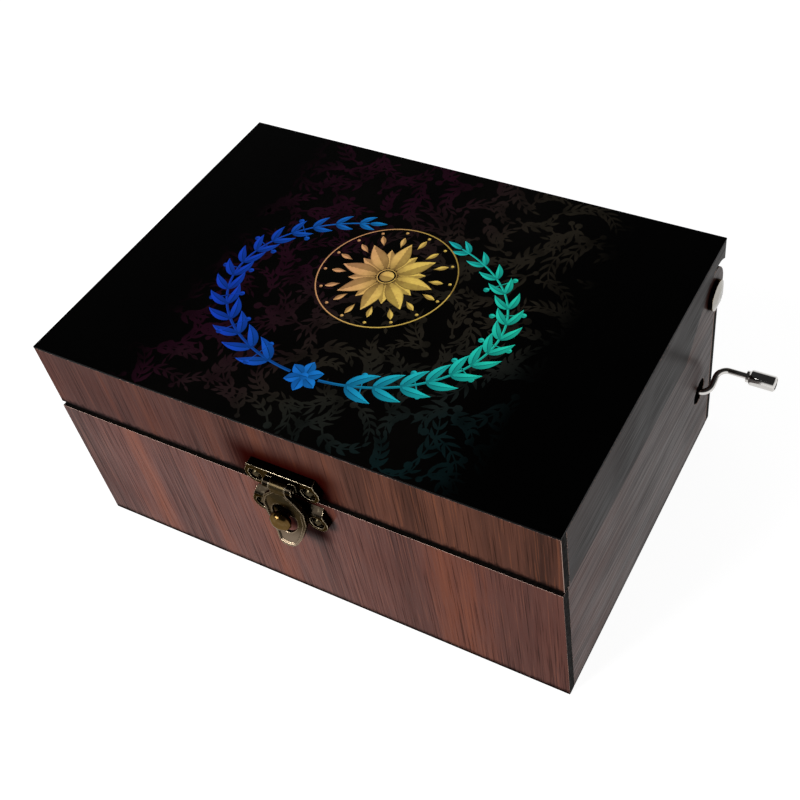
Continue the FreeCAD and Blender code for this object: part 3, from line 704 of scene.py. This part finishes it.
def garland(ink):
    """Two leafy branches that rise from a flower at the front and almost meet at the back."""
    for side in (-1, 1):
        start = math.radians(-90 + side * GARLAND_GAP)
        path = oval(GARLAND_CENTRE, GARLAND_SIZE, start, side * math.radians(GARLAND_SWEEP), GARLAND_POINTS)
        ink.branch(path, 5, leaf_length=10.5, leaf_width=3.3, spread=0.75, stem_width=0.9, tip_scale=0.55)
        for index in BERRY_POINTS:
            x, y, heading = path[index]
            for out in (-1, 1):
                away = heading + out * math.pi / 2
                ink.stem(bend(x, y, away, 4.0, 0.0, 2), 0.35, 0.3)
                ink.dot(*out_from((x, y), BERRY_OUT, away), 0.85)
    flower = (GARLAND_CENTRE[0], GARLAND_CENTRE[1] - GARLAND_SIZE[1])
    ink.petals(flower, 6, first=90, root=0.0, length=5.6, width=3.4, fullness=1.2)
    ink.dot(*flower, 1.3)


def rosette(ink):
    """A gold flower of two rows of petals inside a ring of drops."""
    ink.petals(ROSETTE_CENTRE, 8, first=22.5, root=3, length=8.5, width=3.6, fullness=0.9)
    ink.petals(ROSETTE_CENTRE, 8, first=0, root=2.5, length=12.5, width=5.2, fullness=0.85)
    ink.dot(*ROSETTE_CENTRE, 2.2)
    ink.ring(ROSETTE_CENTRE, 2.9, 0.35)
    for n in range(ROSETTE_DROPS):
        heading = math.radians(360 / ROSETTE_DROPS * (n + 0.5))
        ink.leaf(*out_from(ROSETTE_CENTRE, DROP_ROOTS[n % 2], heading), heading, 4.6, 1.7, fullness=1.3)
        ink.dot(*out_from(ROSETTE_CENTRE, BEAD_OUT, heading), 0.5)
    ink.ring(ROSETTE_CENTRE, 21.0, 0.4)


def make_print():
    """The lid's film, cut back by the ink's depth, and the three inks on it."""
    sheet = dressed("lid_print_sheet", [film("lid_film", ground_colour)])
    low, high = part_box("lid_print_sheet")
    top = high[Z] / MM
    for vertex in sheet.data.vertices:
        vertex.co.z = min(vertex.co.z, (top - INK_DEPTH) * MM)
    faint = Ink(top, FOLIAGE_LAYER, FAINT_STEPS)
    front, back = low[Y] / MM + FOLIAGE_MARGIN, high[Y] / MM - FOLIAGE_MARGIN
    foliage(faint, -FOLIAGE_REACH, FOLIAGE_REACH, front, back)
    faint.piece("print_foliage", film("ink_foliage", foliage_colour))
    blue = Ink(top, GARLAND_LAYER, FINE_STEPS)
    garland(blue)
    blue.piece("print_garland", film("ink_garland", garland_colour))
    gold = Ink(top, ROSETTE_LAYER, FINE_STEPS)
    rosette(gold)
    gold.piece("print_rosette", film("ink_gold", gold_colour))


# Pieces

WELD = 1e-6
FLAT_ANGLE = math.radians(0.5)
SHARP_ANGLE = math.radians(35)
SMOOTH_ANGLE = 30
ROUND_ANGLE = 50


def copied(node, name):
    """A new object with the CAD node's mesh, its split corners joined."""
    mesh = frame["nodes"][node].data.copy()
    mesh.name = name
    work = bmesh.new()
    work.from_mesh(mesh)
    bmesh.ops.remove_doubles(work, verts=work.verts, dist=WELD)
    bmesh.ops.dissolve_limit(work, angle_limit=FLAT_ANGLE, verts=work.verts, edges=work.edges)
    bmesh.ops.recalc_face_normals(work, faces=work.faces)
    work.to_mesh(mesh)
    work.free()
    mesh.materials.clear()
    piece = bpy.data.objects.new(name, mesh)
    bpy.context.scene.collection.objects.link(piece)
    return piece


def smooth(mesh, degrees):
    """Smooth shading, with the edges sharper than an angle kept sharp."""
    for polygon in mesh.polygons:
        polygon.use_smooth = True
    work = bmesh.new()
    work.from_mesh(mesh)
    for edge in work.edges:
        edge.smooth = len(edge.link_faces) != 2 or edge.calc_face_angle() < math.radians(degrees)
    work.to_mesh(mesh)
    work.free()


def body_of(node):
    """The body that a CAD node moves with."""
    for body, nodes in frame["record"]["behaviour"]["bodies"].items():
        if node in nodes:
            return body


def dressed(node, materials, shape=None, smooth_angle=SMOOTH_ANGLE):
    """Replaces a CAD node by the same shape with its own finish, after an edit of its mesh."""
    piece = copied(node, node + "_finish")
    for material in materials:
        piece.data.materials.append(material)
    if shape:
        work = bmesh.new()
        work.from_mesh(piece.data)
        shape(work)
        work.to_mesh(piece.data)
        work.free()
    smooth(piece.data, smooth_angle)
    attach(piece, body_of(node))
    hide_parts(node)
    return piece


def chamfered(work, width, material=-1, segments=1):
    """Cuts the sharp edges of a mesh back by a flat, or by a round of several segments."""
    edges = [e for e in work.edges if len(e.link_faces) == 2 and e.calc_face_angle() > SHARP_ANGLE]
    bmesh.ops.bevel(
        work,
        geom=edges,
        offset=width,
        segments=segments,
        profile=0.5,
        affect="EDGES",
        clamp_overlap=True,
        material=material,
    )


# Case

FRONT_TONES = [
    (0.32, (0.042, 0.015, 0.012)),
    (0.43, (0.093, 0.032, 0.025)),
    (0.52, (0.123, 0.042, 0.032)),
    (0.61, (0.167, 0.048, 0.027)),
    (0.7, (0.25, 0.07, 0.032)),
]

# Painted light and shade: where along an axis the skin starts to change and has changed, and its tint and
# share of gloss then
FRONT_PAINTED_SHADE = SimpleNamespace(axis=X, start=-20 * MM, end=60 * MM, tint=(0.93, 0.96, 0.93), gloss=0.5)
LID_FRONT_PAINTED_LIGHT = SimpleNamespace(axis=X, start=-50 * MM, end=50 * MM, tint=(1.62, 1.78, 1.46), gloss=0.4)
SIDE_PAINTED_SHADE = SimpleNamespace(axis=Y, start=-50 * MM, end=0, tint=(0.42, 0.42, 0.42), gloss=1.0)

# Painted shade round the clasp: how far round a node the skin is dark, and how dark
FRONT_CLASP_SHADE = SimpleNamespace(node="clasp_tongue", reach=6 * MM, amount=0.9)
LID_FRONT_CLASP_SHADE = SimpleNamespace(node="clasp_upper_plate", reach=10 * MM, amount=0.97)

# What a face of a board is, by the number of its material
SKIN, CHAR, ARRIS, CHIPPED = range(4)
BOARD_ARRIS = 0.26 * MM

# A face lies across an axis when its normal has more than this share of it
ACROSS = 0.9


def shaded_tones(tones, share):
    """Stops of a ramp, their colours darker: a shaded copy of a veneer, painted shade."""
    return [(position, tuple(share * c for c in colour)) for position, colour in tones]


def board_shape(axis, lid=False):
    """Marks a board's faces across an axis as skin and its edges as char, with an arris between."""

    def shape(work):
        for face in work.faces:
            face.material_index = SKIN if abs(face.normal[axis]) > ACROSS else CHAR
        chamfered(work, BOARD_ARRIS, ARRIS)
        low = min(vertex.co.z for vertex in work.verts)
        high = max(vertex.co.z for vertex in work.verts)
        for face in work.faces:
            if lid and face.material_index == ARRIS:
                height = face.calc_center_median().z
                if height < low + 2 * BOARD_ARRIS:
                    face.material_index = CHAR
                elif height > high - 2 * BOARD_ARRIS:
                    face.material_index = CHIPPED

    return shape


def make_case():
    """The boards of the base, the lid and the movement."""
    edge = burnt_edge()
    # Painted highlight along the arrises of the fronts and the sides; along the lids' top arrises, pale
    # chips
    front_arris_highlight = pale_arris("pale_arris", 0.2, 0.42, (0.8, 0.55, 0.46))
    worn = pale_arris("side_arris_highlight", 0.35, 0.6, (0.5, 0.34, 0.28))
    chipped = pale_arris("chipped_arris", 0.5, 0.65, (0.3, 0.16, 0.12))
    lid_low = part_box("lid_front_rim")[0][Z]
    front = walnut(
        "walnut_front", Z, (0.013, 0.0, 0.0), FRONT_TONES,
        gloss=0.26, blur=0.18, painted_light=FRONT_PAINTED_SHADE, dark_edge_height=0.0, painted_shade=FRONT_CLASP_SHADE,
    )
    # Painted shade: the lid's front, the sides and the lid's sides take the front's veneer darkened
    lid_front = walnut(
        "walnut_lid_front", Z, (0.4, 0.0, 0.0), shaded_tones(FRONT_TONES, 0.6),
        gloss=0.16, blur=0.18, painted_light=LID_FRONT_PAINTED_LIGHT, dark_edge_height=lid_low, painted_shade=LID_FRONT_CLASP_SHADE,
    )
    side = walnut(
        "walnut_side", Y, (0.0, 0.3, 0.0), shaded_tones(FRONT_TONES, 0.86),
        gloss=0.4, blur=0.3, painted_light=SIDE_PAINTED_SHADE,
    )
    lid_side = walnut(
        "walnut_lid_side", Y, (0.0, 0.7, 0.2), shaded_tones(FRONT_TONES, 0.16),
        gloss=0.29, blur=0.3, painted_light=SIDE_PAINTED_SHADE,
    )
    board = plain_board()
    for node in ("base_front_panel", "base_back_panel"):
        dressed(node, [front, edge, front_arris_highlight], board_shape(Y))
    for node in ("lid_front_rim", "lid_back_rim"):
        dressed(node, [lid_front, edge, front_arris_highlight, chipped], board_shape(Y, True))
    for node in ("base_left_panel", "base_right_panel"):
        dressed(node, [side, edge, worn], board_shape(X))
    for node in ("lid_left_rim", "lid_right_rim"):
        dressed(node, [lid_side, edge, worn, chipped], board_shape(X, True))
    for node in ("base_bottom_panel", "movement_board", "lid_top_board"):
        dressed(node, [board, edge, edge], board_shape(Z))
    for node in ("hinge_cheek_left", "hinge_cheek_right"):
        dressed(node, [board, edge, edge], board_shape(X))


# Fittings and movement

METAL_EDGE = 0.1 * MM
KNOB_EDGE = 0.6 * MM
TONGUE_WEAR = 0.4 * MM
HEAD_FACE = 0.5
HOLLOW = (0.001, 0.001, 0.001)
HOLLOW_BRONZE = (0.004, 0.003, 0.002)
RUBBED_BRONZE = (0.9, 0.74, 0.5)


def rounded_shape(work):
    """A metal piece's edges, broken by a fine flat."""
    chamfered(work, METAL_EDGE)


def turned_shape(work):
    """A turned piece's rims, rounded."""
    chamfered(work, KNOB_EDGE, segments=4)


def pin_shape(work):
    """Marks the wall of a hinge pin's head, dark under its bright face: painted shade."""
    for face in work.faces:
        face.material_index = 0 if abs(face.normal.x) > HEAD_FACE else 1


def make_metal():
    """The clasp, the hinge pins, the crank and the movement."""
    black = worn_metal("antique_black", HOLLOW, HOLLOW_BRONZE, RUBBED_BRONZE, 0.16, mottle=0.01)
    bronze = worn_metal("antique_bronze", HOLLOW_BRONZE, (0.045, 0.036, 0.02), RUBBED_BRONZE, 0.24)
    tongue = worn_metal(
        "antique_leaf", (0.002, 0.0015, 0.001), tongue_colour, (0.36, 0.28, 0.19), 0.26, TONGUE_WEAR,
    )
    golden = worn_metal(
        "antique_gold", (0.004, 0.003, 0.001), (0.095, 0.055, 0.018), (0.95, 0.75, 0.4), 0.17,
    )
    chrome = bright_metal("chrome", (0.7, 0.68, 0.65), 0.08)
    nickel = bright_metal("nickel", (0.38, 0.36, 0.32), 0.22)
    brass = bright_metal("movement_brass", (0.62, 0.47, 0.24), 0.35)
    steel = bright_metal("movement_steel", (0.6, 0.6, 0.6), 0.25, pulled(X, 0.1))
    for node in ("clasp_catch_plate", "clasp_upper_plate", "clasp_hinge_pin"):
        dressed(node, [black], rounded_shape)
    for node in ("catch_plate_nails", "upper_plate_nails"):
        dressed(node, [bronze], smooth_angle=ROUND_ANGLE)
    dressed("clasp_tongue", [tongue], rounded_shape)
    dressed("clasp_knob", [golden], smooth_angle=ROUND_ANGLE)
    # The wall of each pin's head takes the black bronze as painted shade
    for node in ("hinge_pin_left", "hinge_pin_right"):
        dressed(node, [nickel, black], pin_shape)
    for node in ("crank_rod", "crank_collar"):
        dressed(node, [chrome])
    dressed("crank_knob", [chrome], turned_shape)
    for node in ("movement_frame", "cylinder_sleeve", "worm_wheel"):
        dressed(node, [brass])
    for node in ("steel_comb", "comb_screws", "frame_screws"):
        dressed(node, [steel])
    for node in ("cylinder_pins", "cylinder_arbor", "drive_worm"):
        dressed(node, [steel])


# Stage and light

WHITE = (1, 1, 1)
FLOOR_RADIUS = 3.0
FLOOR_SIDES = 96
FLOOR_GLOW = 0.93
FLOOR_COLOUR = (0.2, 0.2, 0.2)
CEILING = 0.03
CEILING_EDGE = (0.15, 0.55)
AMBIENT = 0.35
KEY_PLACE = (-0.45, -0.75, 0.7)
KEY_SIZE = 0.5
KEY_POWER = 14.0


def ray(graph, *kinds):
    """1 for rays of any of these kinds, else 0."""
    path = graph.add("ShaderNodeLightPath").outputs
    total = path[kinds[0]]
    for kind in kinds[1:]:
        total = graph.maths("ADD", total, path[kind])
    return graph.maths("MINIMUM", total, 1.0)


def make_floor():
    """A grey floor that takes the shadow, with a glow that only eyes and mirrors see."""
    bpy.ops.mesh.primitive_circle_add(vertices=FLOOR_SIDES, radius=FLOOR_RADIUS, fill_type="NGON")
    floor = bpy.context.object
    floor.name = "floor"
    material = bpy.data.materials.new("floor")
    material.use_nodes = True
    graph = Graph(material.node_tree)
    matt = graph.add("ShaderNodeBsdfDiffuse", inputs={"Color": FLOOR_COLOUR})
    seen = ray(graph, "Is Camera Ray", "Is Glossy Ray", "Is Transmission Ray")
    strength = graph.maths("MULTIPLY", seen, FLOOR_GLOW)
    glow = graph.add("ShaderNodeEmission", inputs={"Color": WHITE, "Strength": strength})
    both = graph.add("ShaderNodeAddShader", inputs={0: matt.outputs[0], 1: glow.outputs[0]})
    graph.add("ShaderNodeOutputMaterial", inputs={"Surface": both.outputs[0]})
    floor.data.materials.append(material)


def make_world():
    """White for the camera, white below a dim ceiling for reflections, and soft light for the rest."""
    world = bpy.data.worlds.new("studio")
    bpy.context.scene.world = world
    world.use_nodes = True
    graph = Graph(world.node_tree)
    height = graph.axes(graph.add("ShaderNodeTexCoord").outputs["Generated"])[Z]
    mirrored = graph.span(height, *CEILING_EDGE, 1.0, CEILING)
    level = graph.span(ray(graph, "Is Glossy Ray", "Is Transmission Ray"), 0.0, 1.0, AMBIENT, mirrored)
    level = graph.span(ray(graph, "Is Camera Ray"), 0.0, 1.0, level, 1.0)
    back = graph.add("ShaderNodeBackground", inputs={"Color": WHITE, "Strength": level})
    graph.add("ShaderNodeOutputWorld", inputs={"Surface": back.outputs[0]})


def make_key():
    """A square soft box that faces the middle of the object."""
    data = bpy.data.lights.new("key", "AREA")
    data.size = KEY_SIZE
    data.energy = KEY_POWER
    lamp = bpy.data.objects.new("key", data)
    bpy.context.scene.collection.objects.link(lamp)
    lamp.location = KEY_PLACE
    aim = CAMERA_TARGET - Vector(KEY_PLACE)
    lamp.rotation_mode = "QUATERNION"
    lamp.rotation_quaternion = aim.to_track_quat("-Z", "Y")


make_camera()
make_floor()
make_world()
make_key()
make_case()
make_print()
make_metal()
bpy.context.scene.view_settings.view_transform = "Standard"
